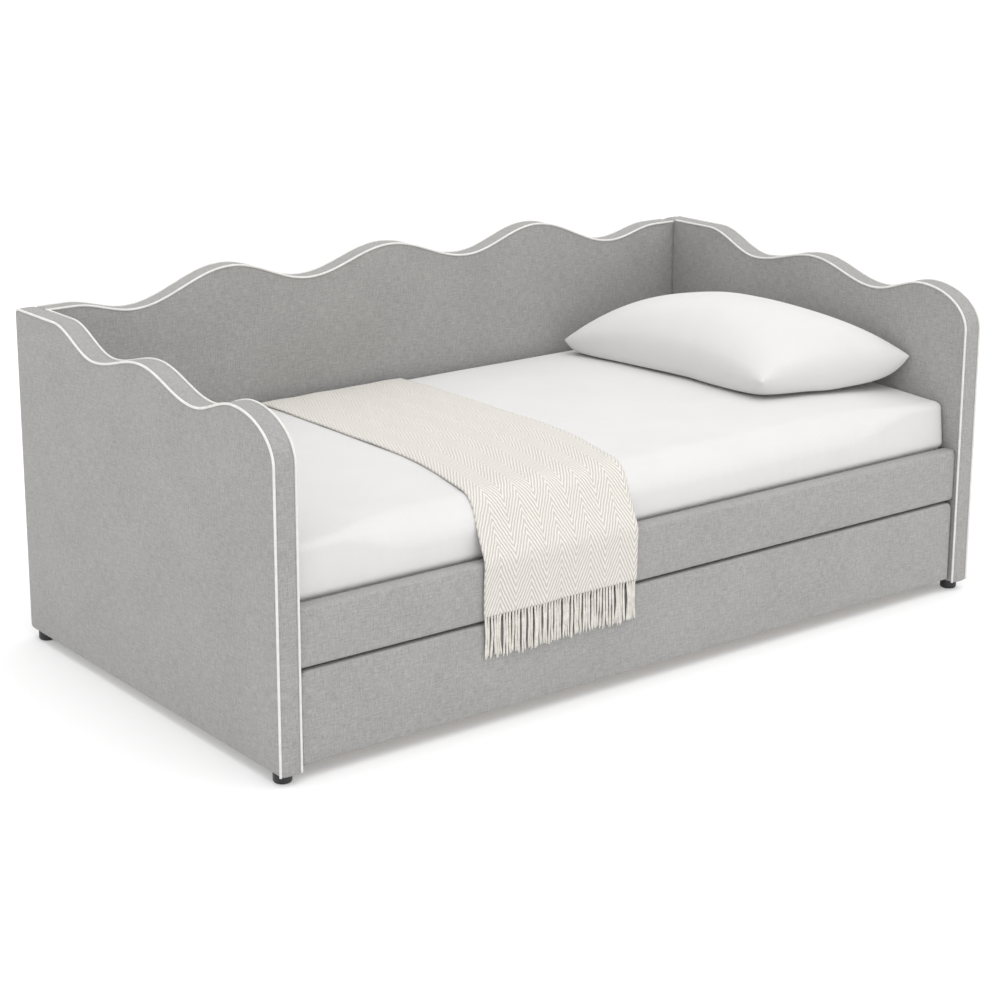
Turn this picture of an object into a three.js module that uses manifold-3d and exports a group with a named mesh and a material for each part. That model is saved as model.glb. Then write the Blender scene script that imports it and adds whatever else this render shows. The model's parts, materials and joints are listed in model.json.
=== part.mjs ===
// Upholstered daybed with a scalloped back and scalloped arms, and a trundle that rolls out from under it.
// Millimetres. +X runs along the bed, -Y is the open front, +Z is up.
// The origin is on the floor, under the centre of the bed.
import * as THREE from 'three';
import { mergeVertices } from 'three/addons/utils/BufferGeometryUtils.js';
import Module from 'manifold-3d';

const wasm = await Module();
wasm.setup();

// ---------- driving dimensions ----------
const GAP = 0.3;                      // clearance between pieces that touch

const MATTRESS = { length: 1905, depth: 965, height: 200, corner: 42, edge: 40, endGap: 10, base: 287 };
const PANEL = { thickness: 50, bottom: 24, chamfer: 4, rearRound: 12 };
const DEPTH = 1090;                   // outside, front to back
const INNER_X = MATTRESS.length / 2 + MATTRESS.endGap;
const OUTER_X = INNER_X + PANEL.thickness;
const FRONT_Y = -DEPTH / 2;
const BACK_Y = DEPTH / 2;
const BACK_FACE_Y = BACK_Y - PANEL.thickness;

// Scallops: the crests and dips that half-cosine waves run between, and the round front corner of an arm.
const ARM_CREST_TOP = 793;
const ARM_WAVE = [[357, ARM_CREST_TOP], [175, 737], [-29, 771], [-243, 723.5], [-400, 759]];
const ARM_CORNER_DROP = 97;
const BACK_END_TOP = 790;
const BACK_WAVE = [[888, BACK_END_TOP], [733, 763], [468, 835], [242, 780], [0, 835]];

const WELT = { radius: 2.5, sides: 6, armSteps: 64, backSteps: 56, endInset: 6 };
const FOOT = { radius: 20, taper: 17, height: PANEL.bottom - GAP, inset: 33, segments: 20 };

const FRONT_INSET = 8;                // the rail and the trundle front sit this far behind the arms' front edges
const RAIL = { thickness: 40, bottom: 237, top: 364, round: 9 };
const RAIL_FRONT_Y = FRONT_Y + FRONT_INSET;
const RAIL_BACK_Y = RAIL_FRONT_Y + RAIL.thickness;
const MATTRESS_TOP = MATTRESS.base + MATTRESS.height;
const MATTRESS_Y = RAIL_BACK_Y + 5 + MATTRESS.depth / 2;
const LEDGER = { size: 30, top: 268 };
const SLAT = { count: 11, width: 60, thickness: 18, pitch: 170 };
const BRACKET = { leg: 42, thickness: 2.6, bottom: 290, height: 60 };

const TRUNDLE = { halfLength: 956, thickness: 35, bottom: 32, top: 231, round: 15, bevel: 3, inside: 941 };
const TRUNDLE_BACK_Y = RAIL_FRONT_Y + TRUNDLE.thickness + TRUNDLE.inside;
const BOARD = { thickness: 18, bottom: 62, top: 132, outerX: 940 };
const CLEAT = { size: 20, bottom: 66 };
const TRUNDLE_SLAT = { count: 9, width: 60, thickness: 15, pitch: 210 };

const WHEEL = { radius: 24.7, width: 20, bore: 4.4, centre: 25, frontY: -455, backY: 395, segments: 20 };
const FORK = { thickness: 2.5, plate: 40, inside: 24, drop: 46, cheekRadius: 11 };
const AXLE = { radius: 4, head: 6.5, headLength: 2.4 };

const PILLOW = { width: 415, length: 720, centre: [741, 45], turn: 0.04, seam: 541, rise: 131, cells: 12 };
const THROW = { width: 420, thickness: 6, centreX: -238, skew: 0.102, startY: 466, hem: 250 };

// ---------- materials ----------
const finish = (color, roughness, metalness = 0) => new THREE.MeshStandardMaterial({ color, roughness, metalness });
const greyFabric = finish(0xa6a6a3, 0.92);
const whitePiping = finish(0xefeee9, 0.8);
const blackPlastic = finish(0x151515, 0.45);
const pineWood = finish(0xd6b98a, 0.65);
const steel = finish(0x8d9196, 0.4, 0.9);
const wheelPlastic = finish(0x3a3b3d, 0.55);
const mattressCover = finish(0xf1f1ef, 0.85);
const pillowCotton = finish(0xf4f4f2, 0.85);
const throwWool = finish(0xe6e1d6, 0.95);

// ---------- helpers ----------
const bed = new THREE.Group();

function addMesh(name, geometry, material) {
  const mesh = new THREE.Mesh(geometry, material);
  mesh.name = name;
  bed.add(mesh);
  return mesh;
}

// A plain rectangular piece between two corners.
function addBlock(name, [x0, y0, z0], [x1, y1, z1], material) {
  const mesh = addMesh(name, new THREE.BoxGeometry(x1 - x0, y1 - y0, z1 - z0), material);
  mesh.position.set((x0 + x1) / 2, (y0 + y1) / 2, (z0 + z1) / 2);
  return mesh;
}

// Outlines are drawn in their own plane and turned into place: (u, v) becomes (y, z) or (x, z).
const AXIS_X = new THREE.Vector3(1, 0, 0);
const AXIS_Y = new THREE.Vector3(0, 1, 0);
const AXIS_Z = new THREE.Vector3(0, 0, 1);
const SIDEWAYS = new THREE.Matrix4().makeBasis(AXIS_Y, AXIS_Z, AXIS_X);
const UPRIGHT = new THREE.Matrix4().makeBasis(AXIS_X, AXIS_Z, AXIS_Y.clone().negate());

// Extrudes an outline by a thickness, with its edges bevelled inward so that the outer size stays true.
function extrudeOutline(points, thickness, bevel, bevelSegments = 1) {
  const shape = new THREE.Shape(points);
  const geometry = new THREE.ExtrudeGeometry(shape, {
    depth: thickness - 2 * bevel,
    bevelEnabled: bevel > 0,
    bevelThickness: bevel,
    bevelSize: bevel,
    bevelOffset: -bevel,
    bevelSegments,
    steps: 1,
  });
  return geometry.translate(0, 0, bevel);
}

// A curve made of stretches, each a function from 0..1 to a point.
class StretchCurve extends THREE.Curve {
  constructor(stretches) {
    super();
    this.stretches = stretches;
    this.arcLengthDivisions = 900;
  }

  getPoint(t) {
    const scaled = Math.min(t, 1 - 1e-9) * this.stretches.length;
    const index = Math.floor(scaled);
    return this.stretches[index](scaled - index);
  }
}

const mix = (a, b, s) => a + (b - a) * s;

// place(u, v) puts a point of the outline's plane into space.
const lineStretch = (place, [u0, v0], [u1, v1]) => (s) => place(mix(u0, u1, s), mix(v0, v1, s));
const waveStretch = (place, [u0, v0], [u1, v1]) => (s) =>
  place(mix(u0, u1, s), mix(v0, v1, (1 - Math.cos(Math.PI * s)) / 2));
const cornerStretch = (place, [u, v], width, drop) => (s) => {
  const angle = (Math.PI / 2) * s;
  return place(u - width * Math.cos(angle), v - drop * (1 - Math.sin(angle)));
};

// A tube along a curve.
function weltGeometry(curve, steps) {
  const section = new THREE.Shape();
  section.absarc(0, 0, WELT.radius, 0, 2 * Math.PI);
  const points = section.getSpacedPoints(WELT.sides).slice(0, WELT.sides);
  return new THREE.ExtrudeGeometry(new THREE.Shape(points), { steps, bevelEnabled: false, extrudePath: curve });
}

function toManifold(geometry) {
  const bare = geometry.index ? geometry.toNonIndexed() : geometry.clone();
  bare.deleteAttribute('normal');
  bare.deleteAttribute('uv');
  const merged = mergeVertices(bare, 1e-4);
  const mesh = new wasm.Mesh({
    numProp: 3,
    vertProperties: new Float32Array(merged.attributes.position.array),
    triVerts: new Uint32Array(merged.index.array),
  });
  return new wasm.Manifold(mesh);
}

function fromManifold(solid) {
  const mesh = solid.getMesh();
  const geometry = new THREE.BufferGeometry();
  geometry.setAttribute('position', new THREE.BufferAttribute(new Float32Array(mesh.vertProperties), 3));
  geometry.setIndex(new THREE.BufferAttribute(new Uint32Array(mesh.triVerts), 1));
  return geometry;
}

// A solid of revolution about the X axis, from (distance along the axis, radius) pairs.
function turnedAlongX(profile, segments) {
  const points = profile.map(([along, radius]) => new THREE.Vector2(radius, along));
  return new THREE.LatheGeometry(points, segments).rotateZ(-Math.PI / 2);
}

// ---------- arms ----------
// The edge runs from the bottom of the front edge, up round the corner and over the scallops, and stops where
// the rounding of the rear corner begins.
function armEdge(place) {
  const lastCrest = ARM_WAVE[ARM_WAVE.length - 1];
  const cornerFoot = lastCrest[1] - ARM_CORNER_DROP;
  const waves = ARM_WAVE.slice(1).map((dip, i) => waveStretch(place, dip, ARM_WAVE[i])).reverse();
  return new StretchCurve([
    lineStretch(place, [FRONT_Y, PANEL.bottom], [FRONT_Y, cornerFoot]),
    cornerStretch(place, lastCrest, lastCrest[0] - FRONT_Y, ARM_CORNER_DROP),
    ...waves,
    lineStretch(place, ARM_WAVE[0], [BACK_Y - PANEL.rearRound, ARM_CREST_TOP]),
  ]);
}

function armOutline() {
  const edge = armEdge((y, z) => new THREE.Vector3(y, z, 0));
  const top = edge.getSpacedPoints(WELT.armSteps).map((p) => new THREE.Vector2(p.x, p.y));
  const r = PANEL.rearRound;
  const rear = new THREE.Path();
  rear.absarc(BACK_Y - r, ARM_CREST_TOP - r, r, Math.PI / 2, 0, true);
  rear.absarc(BACK_Y - r, PANEL.bottom + r, r, 0, -Math.PI / 2, true);
  return dropRepeats([...top, ...rear.getPoints(3)]).reverse();
}

function addArm(side, direction) {
  const geometry = extrudeOutline(armOutline(), PANEL.thickness, PANEL.chamfer).applyMatrix4(SIDEWAYS);
  geometry.translate(direction > 0 ? INNER_X : -OUTER_X, 0, 0);
  addMesh(`${side}_arm_panel`, geometry, greyFabric);
  const innerX = direction * INNER_X;
  const outerX = direction * OUTER_X;
  const outerEdge = armEdge((y, z) => new THREE.Vector3(outerX, y, z));
  addMesh(`${side}_arm_outer_welt`, weltGeometry(outerEdge, WELT.armSteps), whitePiping);
  const innerEdge = armEdge((y, z) => new THREE.Vector3(innerX, y, z));
  const whole = weltGeometry(innerEdge, WELT.armSteps);
  addMesh(`${side}_arm_inner_welt`, cutBehind(whole, BACK_FACE_Y - WELT.endInset), whitePiping);
}

// Keeps only what lies in front of a plane at y.
function cutBehind(geometry, y) {
  const keep = new THREE.BoxGeometry(4 * OUTER_X, 2 * DEPTH, 2 * DEPTH).translate(0, y - DEPTH, 0);
  return fromManifold(toManifold(geometry).intersect(toManifold(keep)));
}

// ---------- back ----------
function backEdge(place, endX) {
  const mirrored = BACK_WAVE.map(([x, z]) => [-x, z]);
  const outward = BACK_WAVE.slice(1).map((inner, i) => waveStretch(place, inner, BACK_WAVE[i])).reverse();
  const inward = mirrored.slice(1).map((inner, i) => waveStretch(place, mirrored[i], inner));
  return new StretchCurve([
    lineStretch(place, [-endX, BACK_END_TOP], mirrored[0]),
    ...inward,
    ...outward,
    lineStretch(place, BACK_WAVE[0], [endX, BACK_END_TOP]),
  ]);
}

function addBack() {
  const endX = INNER_X - GAP;
  const edge = backEdge((x, z) => new THREE.Vector3(x, z, 0), endX);
  const top = edge.getSpacedPoints(WELT.backSteps).map((p) => new THREE.Vector2(p.x, p.y));
  const outline = [...top, new THREE.Vector2(endX, PANEL.bottom), new THREE.Vector2(-endX, PANEL.bottom)].reverse();
  const geometry = extrudeOutline(outline, PANEL.thickness, PANEL.chamfer).applyMatrix4(UPRIGHT);
  addMesh('back_panel', geometry.translate(0, BACK_Y, 0), greyFabric);
  for (const [name, y] of [['back_front_welt', BACK_FACE_Y], ['back_rear_welt', BACK_Y]]) {
    const whole = weltGeometry(backEdge((x, z) => new THREE.Vector3(x, y, z), endX), WELT.backSteps);
    const reach = endX - WELT.endInset;
    const keep = new THREE.BoxGeometry(2 * reach, 4 * DEPTH, 4 * DEPTH);
    addMesh(name, fromManifold(toManifold(whole).intersect(toManifold(keep))), whitePiping);
  }
}

// ---------- front rail, ledgers, slats, brackets, feet ----------
function roundedTopOutline(halfWidth, bottom, top, round, arcSteps) {
  const shape = new THREE.Shape();
  shape.moveTo(-halfWidth, bottom);
  shape.lineTo(halfWidth, bottom);
  shape.lineTo(halfWidth, top - round);
  shape.absarc(halfWidth - round, top - round, round, 0, Math.PI / 2);
  shape.lineTo(-halfWidth + round, top);
  shape.absarc(-halfWidth + round, top - round, round, Math.PI / 2, Math.PI);
  shape.closePath();
  return dropRepeats(shape.getPoints(arcSteps));
}

function dropRepeats(points) {
  const closest = 1e-3;
  const kept = points.filter((p, i) => i === 0 || p.distanceTo(points[i - 1]) > closest);
  const closes = kept[0].distanceTo(kept[kept.length - 1]) < closest;
  return closes ? kept.slice(0, -1) : kept;
}

function addRail() {
  const outline = roundedTopOutline(RAIL.thickness / 2, RAIL.bottom, RAIL.top, RAIL.round, 4);
  const length = 2 * (INNER_X - GAP);
  const geometry = extrudeOutline(outline, length, 0).applyMatrix4(SIDEWAYS);
  const middleY = (RAIL_FRONT_Y + RAIL_BACK_Y) / 2;
  addMesh('front_rail', geometry.translate(-length / 2, middleY, 0), greyFabric);
}

function addDeck() {
  const reach = INNER_X - GAP;
  const ledgerBottom = LEDGER.top - LEDGER.size;
  const frontLedgerY = RAIL_BACK_Y + GAP;
  const backLedgerY = BACK_FACE_Y - GAP;
  addBlock('front_ledger', [-reach, frontLedgerY, ledgerBottom],
    [reach, frontLedgerY + LEDGER.size, LEDGER.top], pineWood);
  addBlock('back_ledger', [-reach, backLedgerY - LEDGER.size, ledgerBottom],
    [reach, backLedgerY, LEDGER.top], pineWood);
  const slatBottom = LEDGER.top + GAP;
  for (let i = 0; i < SLAT.count; i += 1) {
    const x = (i - (SLAT.count - 1) / 2) * SLAT.pitch;
    addBlock(`bed_slat_${i + 1}`, [x - SLAT.width / 2, frontLedgerY, slatBottom],
      [x + SLAT.width / 2, backLedgerY, slatBottom + SLAT.thickness], pineWood);
  }
}

// An angle bracket in the inner corner between the front rail and an arm.
function addRailBracket(side, direction) {
  const outline = [[0, 0], [BRACKET.leg, 0], [BRACKET.leg, BRACKET.thickness],
    [BRACKET.thickness, BRACKET.thickness], [BRACKET.thickness, BRACKET.leg], [0, BRACKET.leg]]
    .map(([u, v]) => new THREE.Vector2(-direction * u, v));
  if (direction > 0) outline.reverse();
  const geometry = extrudeOutline(outline, BRACKET.height, 0);
  geometry.translate(direction * (INNER_X - GAP), RAIL_BACK_Y + GAP, BRACKET.bottom);
  addMesh(`${side}_rail_bracket`, geometry, steel);
}

function addFeet() {
  const profile = [[0, 0], [FOOT.taper, 0], [FOOT.radius, 3], [FOOT.radius, FOOT.height], [0, FOOT.height]]
    .map(([radius, z]) => new THREE.Vector2(radius, z));
  for (const [side, direction] of [['left', -1], ['right', 1]]) {
    for (const [end, y] of [['front', FRONT_Y + FOOT.inset], ['back', BACK_Y - FOOT.inset]]) {
      const geometry = new THREE.LatheGeometry(profile, FOOT.segments).rotateX(Math.PI / 2);
      const foot = addMesh(`${end}_${side}_foot`, geometry, blackPlastic);
      foot.position.set(direction * (INNER_X + PANEL.thickness / 2), y, 0);
    }
  }
}

// ---------- trundle ----------
function addTrundleBoards() {
  const outline = roundedTopOutline(TRUNDLE.halfLength, TRUNDLE.bottom, TRUNDLE.top, TRUNDLE.round, 5);
  const front = extrudeOutline(outline, TRUNDLE.thickness, TRUNDLE.bevel).applyMatrix4(UPRIGHT);
  const insideFrontY = RAIL_FRONT_Y + TRUNDLE.thickness;
  addMesh('trundle_front', front.translate(0, insideFrontY, 0), greyFabric);
  const boardX = BOARD.outerX;
  addBlock('trundle_back_board', [-boardX, TRUNDLE_BACK_Y, BOARD.bottom],
    [boardX, TRUNDLE_BACK_Y + BOARD.thickness, BOARD.top], pineWood);
  for (const [side, direction] of [['left', -1], ['right', 1]]) {
    const middleX = direction * (boardX - BOARD.thickness / 2);
    addBlock(`trundle_${side}_board`, [middleX - BOARD.thickness / 2, insideFrontY + GAP, BOARD.bottom],
      [middleX + BOARD.thickness / 2, TRUNDLE_BACK_Y - GAP, BOARD.top], pineWood);
  }
  const cleatX = boardX - BOARD.thickness - GAP;
  const cleatTop = CLEAT.bottom + CLEAT.size;
  addBlock('trundle_front_cleat', [-cleatX, insideFrontY + GAP, CLEAT.bottom],
    [cleatX, insideFrontY + GAP + CLEAT.size, cleatTop], pineWood);
  addBlock('trundle_back_cleat', [-cleatX, TRUNDLE_BACK_Y - GAP - CLEAT.size, CLEAT.bottom],
    [cleatX, TRUNDLE_BACK_Y - GAP, cleatTop], pineWood);
  for (let i = 0; i < TRUNDLE_SLAT.count; i += 1) {
    const x = (i - (TRUNDLE_SLAT.count - 1) / 2) * TRUNDLE_SLAT.pitch;
    addBlock(`trundle_slat_${i + 1}`, [x - TRUNDLE_SLAT.width / 2, insideFrontY + GAP, cleatTop + GAP],
      [x + TRUNDLE_SLAT.width / 2, TRUNDLE_BACK_Y - GAP, cleatTop + GAP + TRUNDLE_SLAT.thickness], pineWood);
  }
}

// One caster: a fork under the end board, an axle through its cheeks and a wheel between them.
function casterFork() {
  const plateTop = BOARD.bottom - GAP;
  const outside = FORK.inside + 2 * FORK.thickness;
  let fork = toManifold(new THREE.BoxGeometry(outside, FORK.plate, FORK.thickness)
    .translate(0, 0, plateTop - FORK.thickness / 2));
  const cheekTop = plateTop - FORK.thickness / 2;
  const cheekHeight = cheekTop - WHEEL.centre;
  for (const direction of [-1, 1]) {
    const middle = direction * (FORK.inside + FORK.thickness) / 2;
    const blade = new THREE.BoxGeometry(FORK.thickness, 2 * FORK.cheekRadius, cheekHeight)
      .translate(middle, 0, WHEEL.centre + cheekHeight / 2);
    const tip = new THREE.CylinderGeometry(FORK.cheekRadius, FORK.cheekRadius, FORK.thickness, WHEEL.segments)
      .rotateZ(Math.PI / 2).translate(middle, 0, WHEEL.centre);
    fork = fork.add(toManifold(blade)).add(toManifold(tip));
  }
  const hole = new THREE.CylinderGeometry(WHEEL.bore, WHEEL.bore, 2 * outside, WHEEL.segments)
    .rotateZ(Math.PI / 2).translate(0, 0, WHEEL.centre);
  return fromManifold(fork.subtract(toManifold(hole)));
}

function addCaster(name, x, y) {
  addMesh(`${name}_fork`, casterFork(), steel).position.set(x, y, 0);
  const axleEnd = FORK.inside / 2 + FORK.thickness + GAP;
  const headEnd = axleEnd + AXLE.headLength;
  const axleProfile = [[-headEnd, 0], [-headEnd, AXLE.head], [-axleEnd, AXLE.head], [-axleEnd, AXLE.radius],
    [axleEnd, AXLE.radius], [axleEnd, AXLE.head], [headEnd, AXLE.head], [headEnd, 0]];
  addMesh(`${name}_axle`, turnedAlongX(axleProfile, 12), steel).position.set(x, y, WHEEL.centre);
  const half = WHEEL.width / 2;
  const tread = WHEEL.radius - 3;
  const wheelProfile = [[-half, WHEEL.bore], [-half, tread], [-half + 3, WHEEL.radius],
    [half - 3, WHEEL.radius], [half, tread], [half, WHEEL.bore], [-half, WHEEL.bore]];
  addMesh(`${name}_wheel`, turnedAlongX(wheelProfile, WHEEL.segments), wheelPlastic)
    .position.set(x, y, WHEEL.centre);
}

function addCasters() {
  const boardMiddle = BOARD.outerX - BOARD.thickness / 2;
  for (const [side, direction] of [['left', -1], ['right', 1]]) {
    addCaster(`front_${side}_caster`, direction * boardMiddle, WHEEL.frontY);
    addCaster(`back_${side}_caster`, direction * boardMiddle, WHEEL.backY);
  }
}

// ---------- soft pieces ----------
function addMattress() {
  const halfX = MATTRESS.length / 2;
  const halfY = MATTRESS.depth / 2;
  const r = MATTRESS.corner;
  const shape = new THREE.Shape();
  shape.moveTo(-halfX + r, -halfY);
  shape.absarc(halfX - r, -halfY + r, r, -Math.PI / 2, 0);
  shape.absarc(halfX - r, halfY - r, r, 0, Math.PI / 2);
  shape.absarc(-halfX + r, halfY - r, r, Math.PI / 2, Math.PI);
  shape.absarc(-halfX + r, -halfY + r, r, Math.PI, 1.5 * Math.PI);
  const geometry = extrudeOutline(dropRepeats(shape.getPoints(5)), MATTRESS.height, MATTRESS.edge, 3);
  const mesh = addMesh('mattress', geometry, mattressCover);
  mesh.position.set(0, MATTRESS_Y, MATTRESS.base);
}

// Two domed faces that meet in a seam; the lower one is flattened where it rests on the mattress.
function addPillow() {
  const n = PILLOW.cells;
  const positions = [];
  const indices = [];
  const restDepth = PILLOW.seam - MATTRESS_TOP - GAP;
  const bulge = (u, v) => Math.pow((1 - u ** 4) * (1 - v ** 4), 0.6);
  const pull = (v) => 1 - 0.07 * (1 - v * v);
  for (const face of [1, -1]) {
    for (let j = 0; j <= n; j += 1) {
      for (let i = 0; i <= n; i += 1) {
        const u = -Math.cos((Math.PI * i) / n);
        const v = -Math.cos((Math.PI * j) / n);
        const height = bulge(u, v) * PILLOW.rise;
        positions.push(u * pull(v) * PILLOW.width / 2, v * pull(u) * PILLOW.length / 2,
          face > 0 ? height : -Math.min(height, restDepth));
      }
    }
  }
  const faceSize = (n + 1) * (n + 1);
  for (let j = 0; j < n; j += 1) {
    for (let i = 0; i < n; i += 1) {
      const a = j * (n + 1) + i;
      const [b, c, d] = [a + 1, a + n + 2, a + n + 1];
      indices.push(a, b, c, a, c, d);
      indices.push(a + faceSize, c + faceSize, b + faceSize, a + faceSize, d + faceSize, c + faceSize);
    }
  }
  const geometry = new THREE.BufferGeometry();
  geometry.setAttribute('position', new THREE.Float32BufferAttribute(positions, 3));
  geometry.setIndex(indices);
  const mesh = addMesh('pillow', mergeVertices(geometry, 1e-3), pillowCotton);
  mesh.position.set(PILLOW.centre[0], PILLOW.centre[1], PILLOW.seam);
  mesh.rotation.z = PILLOW.turn;
}

// The throw lies across the mattress, drops over its front edge and hangs in front of the rail.
function addThrow() {
  const t = THROW.thickness;
  const lie = MATTRESS_TOP + GAP;
  const hang = RAIL_FRONT_Y - GAP;
  const edgeY = MATTRESS_Y - MATTRESS.depth / 2;
  const shape = new THREE.Shape();
  shape.moveTo(THROW.startY, lie);
  shape.lineTo(THROW.startY, lie + t);
  shape.lineTo(edgeY + MATTRESS.edge, lie + t);
  shape.quadraticCurveTo(edgeY - t, lie + t, edgeY - t - 3, lie - MATTRESS.edge);
  shape.lineTo(hang - t, RAIL.top + 4);
  shape.lineTo(hang - t, THROW.hem);
  shape.lineTo(hang, THROW.hem);
  shape.lineTo(hang, RAIL.top + 1);
  shape.lineTo(edgeY - 3, lie - MATTRESS.edge);
  shape.quadraticCurveTo(edgeY, lie, edgeY + MATTRESS.edge, lie);
  shape.closePath();
  const geometry = extrudeOutline(dropRepeats(shape.getPoints(4)), THROW.width, 0).applyMatrix4(SIDEWAYS);
  const shear = new THREE.Matrix4().set(1, THROW.skew, 0, THROW.centreX - THROW.width / 2,
    0, 1, 0, 0, 0, 0, 1, 0, 0, 0, 0, 1);
  addMesh('throw', geometry.applyMatrix4(shear), throwWool);
}

// ---------- assembly ----------
addArm('left', -1);
addArm('right', 1);
addBack();
addRail();
addDeck();
addRailBracket('left', -1);
addRailBracket('right', 1);
addFeet();
addTrundleBoards();
addCasters();
addMattress();
addPillow();
addThrow();

export default bed;
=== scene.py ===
"""The looks of an upholstered daybed with a pull-out trundle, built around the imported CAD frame.

Everything is in metres in the frame's own axes: +X along the bed, -Y its open front, +Z up.
"""
import json
import math

import bmesh
import bpy
import numpy as np
from mathutils import Matrix, Vector


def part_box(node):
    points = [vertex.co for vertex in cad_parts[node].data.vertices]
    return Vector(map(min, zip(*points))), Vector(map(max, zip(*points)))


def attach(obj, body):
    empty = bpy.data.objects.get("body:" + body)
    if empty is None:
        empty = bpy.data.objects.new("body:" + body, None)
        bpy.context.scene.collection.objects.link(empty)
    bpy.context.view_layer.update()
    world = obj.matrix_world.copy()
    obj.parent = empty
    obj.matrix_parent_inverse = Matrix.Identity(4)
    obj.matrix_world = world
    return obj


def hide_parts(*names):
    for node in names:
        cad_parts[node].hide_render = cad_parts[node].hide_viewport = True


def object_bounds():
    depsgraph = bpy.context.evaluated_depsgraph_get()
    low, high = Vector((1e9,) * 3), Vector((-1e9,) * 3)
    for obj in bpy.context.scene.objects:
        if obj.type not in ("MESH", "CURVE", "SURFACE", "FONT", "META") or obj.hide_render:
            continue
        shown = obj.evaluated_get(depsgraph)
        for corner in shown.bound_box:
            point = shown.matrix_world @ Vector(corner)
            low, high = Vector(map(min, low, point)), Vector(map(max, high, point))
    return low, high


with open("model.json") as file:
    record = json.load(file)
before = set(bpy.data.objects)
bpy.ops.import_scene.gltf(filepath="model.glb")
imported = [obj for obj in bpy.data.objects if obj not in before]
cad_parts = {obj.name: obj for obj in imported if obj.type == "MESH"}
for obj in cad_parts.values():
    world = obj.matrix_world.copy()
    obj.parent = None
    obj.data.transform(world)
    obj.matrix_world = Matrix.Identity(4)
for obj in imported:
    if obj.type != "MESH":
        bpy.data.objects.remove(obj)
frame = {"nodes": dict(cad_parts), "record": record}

CAD_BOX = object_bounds()

# ---- driving dimensions ----
# The camera: its place, the way it looks in degrees, and its lens.
CAMERA_AT = (-3.2239, -4.0664, 1.8586)
CAMERA_AZIMUTH, CAMERA_ELEVATION, CAMERA_ROLL = -36.0, 14.35, -0.35
CAMERA_LENS = 81.2
CAMERA_SHIFT = (0.08, -0.10)

# The scallops, as crests and dips with half-cosine waves between them, the same as in the CAD part.
ARM_WAVE = [(0.357, 0.793), (0.175, 0.737), (-0.029, 0.771), (-0.243, 0.7235), (-0.400, 0.759)]
ARM_CORNER_DROP = 0.097
BACK_WAVE = [(0.888, 0.790), (0.733, 0.763), (0.468, 0.835), (0.242, 0.780), (0.0, 0.835)]

# Upholstery: how far strips and faces swell, how far from its edge a face is full, and rounded corners.
PIPING_RADIUS = 0.0027
PIPING_SIDES = 14
PIPING_TWILL = 0.02
LINE_STEP = 0.004
SEAM_INSET = 0.0028
STRIP_CROWN = 0.0012
FACE_CROWN = 0.0035
CROWN_REACH = 0.045
REAR_ROUND = 0.012
TRUNDLE_EDGE = 0.005
TRUNDLE_CORNER = 0.015
RAIL_EDGE = 0.009
# Unevenness of the padding, as (size of the ripples, their height, a step in the seed).
RIPPLES = [(0.11, 0.0006, 0), (0.035, 0.00018, 5)]
# How strongly a panel's rows gather at its bottom and top, and how evenly its bottom points are spaced.
ROW_GATHER = 0.8
BOTTOM_EVENNESS = 0.4

MATTRESS_CORNER = 0.0185
MATTRESS_EDGE = 0.068
MATTRESS_END_EDGE = 0.018
MATTRESS_SWELL = 0.007
MATTRESS_BULGE = 0.013
MATTRESS_CORNER_DIP = 0.009
MATTRESS_CROWN = 0.004
# From how far off an end, and over what length, the soft front edge tightens; how wide a corner's dip is.
MATTRESS_END_REACH, MATTRESS_END_TURN = 0.32, 0.22
MATTRESS_DIP_REACH = 0.16
MATTRESS_STEPS = (210, 106, 48)

# The pillow's four tips, as (x, y, height over the mattress): back left, front left, front right, back right.
PILLOW_TIPS = [(0.520, 0.435, 0.034), (0.560, -0.268, 0.048), (0.952, -0.384, 0.082), (0.925, 0.385, 0.045)]
PILLOW_CLOTH = (0.50, 0.78)
PILLOW_RISE = 0.128
PILLOW_SEAM = 0.050
PILLOW_CONTACT = 0.008
# How much fuller the pillow is at its front right tip, and how steep its underside is.
PILLOW_FULLER = 0.36
PILLOW_UNDERSIDE = 1.9
# How much of the pillow's shape comes from the cloth simulation.
PILLOW_BLOWN = 0.4

THROW_WIDTH = 0.420
# The throw's left edge at the back and at the hem, and between which lengths along it the edge slants.
THROW_LEFT = (-0.412, -0.503)
THROW_TURN = (0.56, 1.13)
THROW_CLEAR = 0.0030
THROW_THICKNESS = 0.0040
THROW_BEND = 0.045
THROW_COLUMNS = 100
THROW_RUFFLE, THROW_WAVE = 0.0009, 0.0016
HERRINGBONE_COLUMN = 0.041
HERRINGBONE_PITCH = 0.0168
HERRINGBONE_SLOPE = 2.1
FRINGE_LENGTH = 0.098
TASSEL_PITCH = 0.0080
TASSEL_STRANDS = 3


# ---- mesh helpers ----
def edit_mesh(mesh, change):
    """Makes a change to a mesh through its bmesh."""
    work = bmesh.new()
    work.from_mesh(mesh)
    change(work)
    work.to_mesh(mesh)
    work.free()


def turn_faces_out(work):
    bmesh.ops.recalc_face_normals(work, faces=work.faces)


def link_object(name, data):
    thing = bpy.data.objects.new(name, data)
    bpy.context.scene.collection.objects.link(thing)
    return thing


def mesh_object(name, points, faces):
    """A smooth piece from points and faces, with its faces turned outwards."""
    mesh = bpy.data.meshes.new(name)
    mesh.from_pydata([tuple(p) for p in points], [], [tuple(int(i) for i in f) for f in faces])
    mesh.update()
    piece = link_object(name, mesh)
    edit_mesh(mesh, turn_faces_out)
    mesh.shade_smooth()
    return piece


def weld(piece, distance):
    """Joins points that lie closer together than a distance."""
    def join(work):
        bmesh.ops.remove_doubles(work, verts=work.verts, dist=distance)
        turn_faces_out(work)

    edit_mesh(piece.data, join)
    piece.data.shade_smooth()


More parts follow.
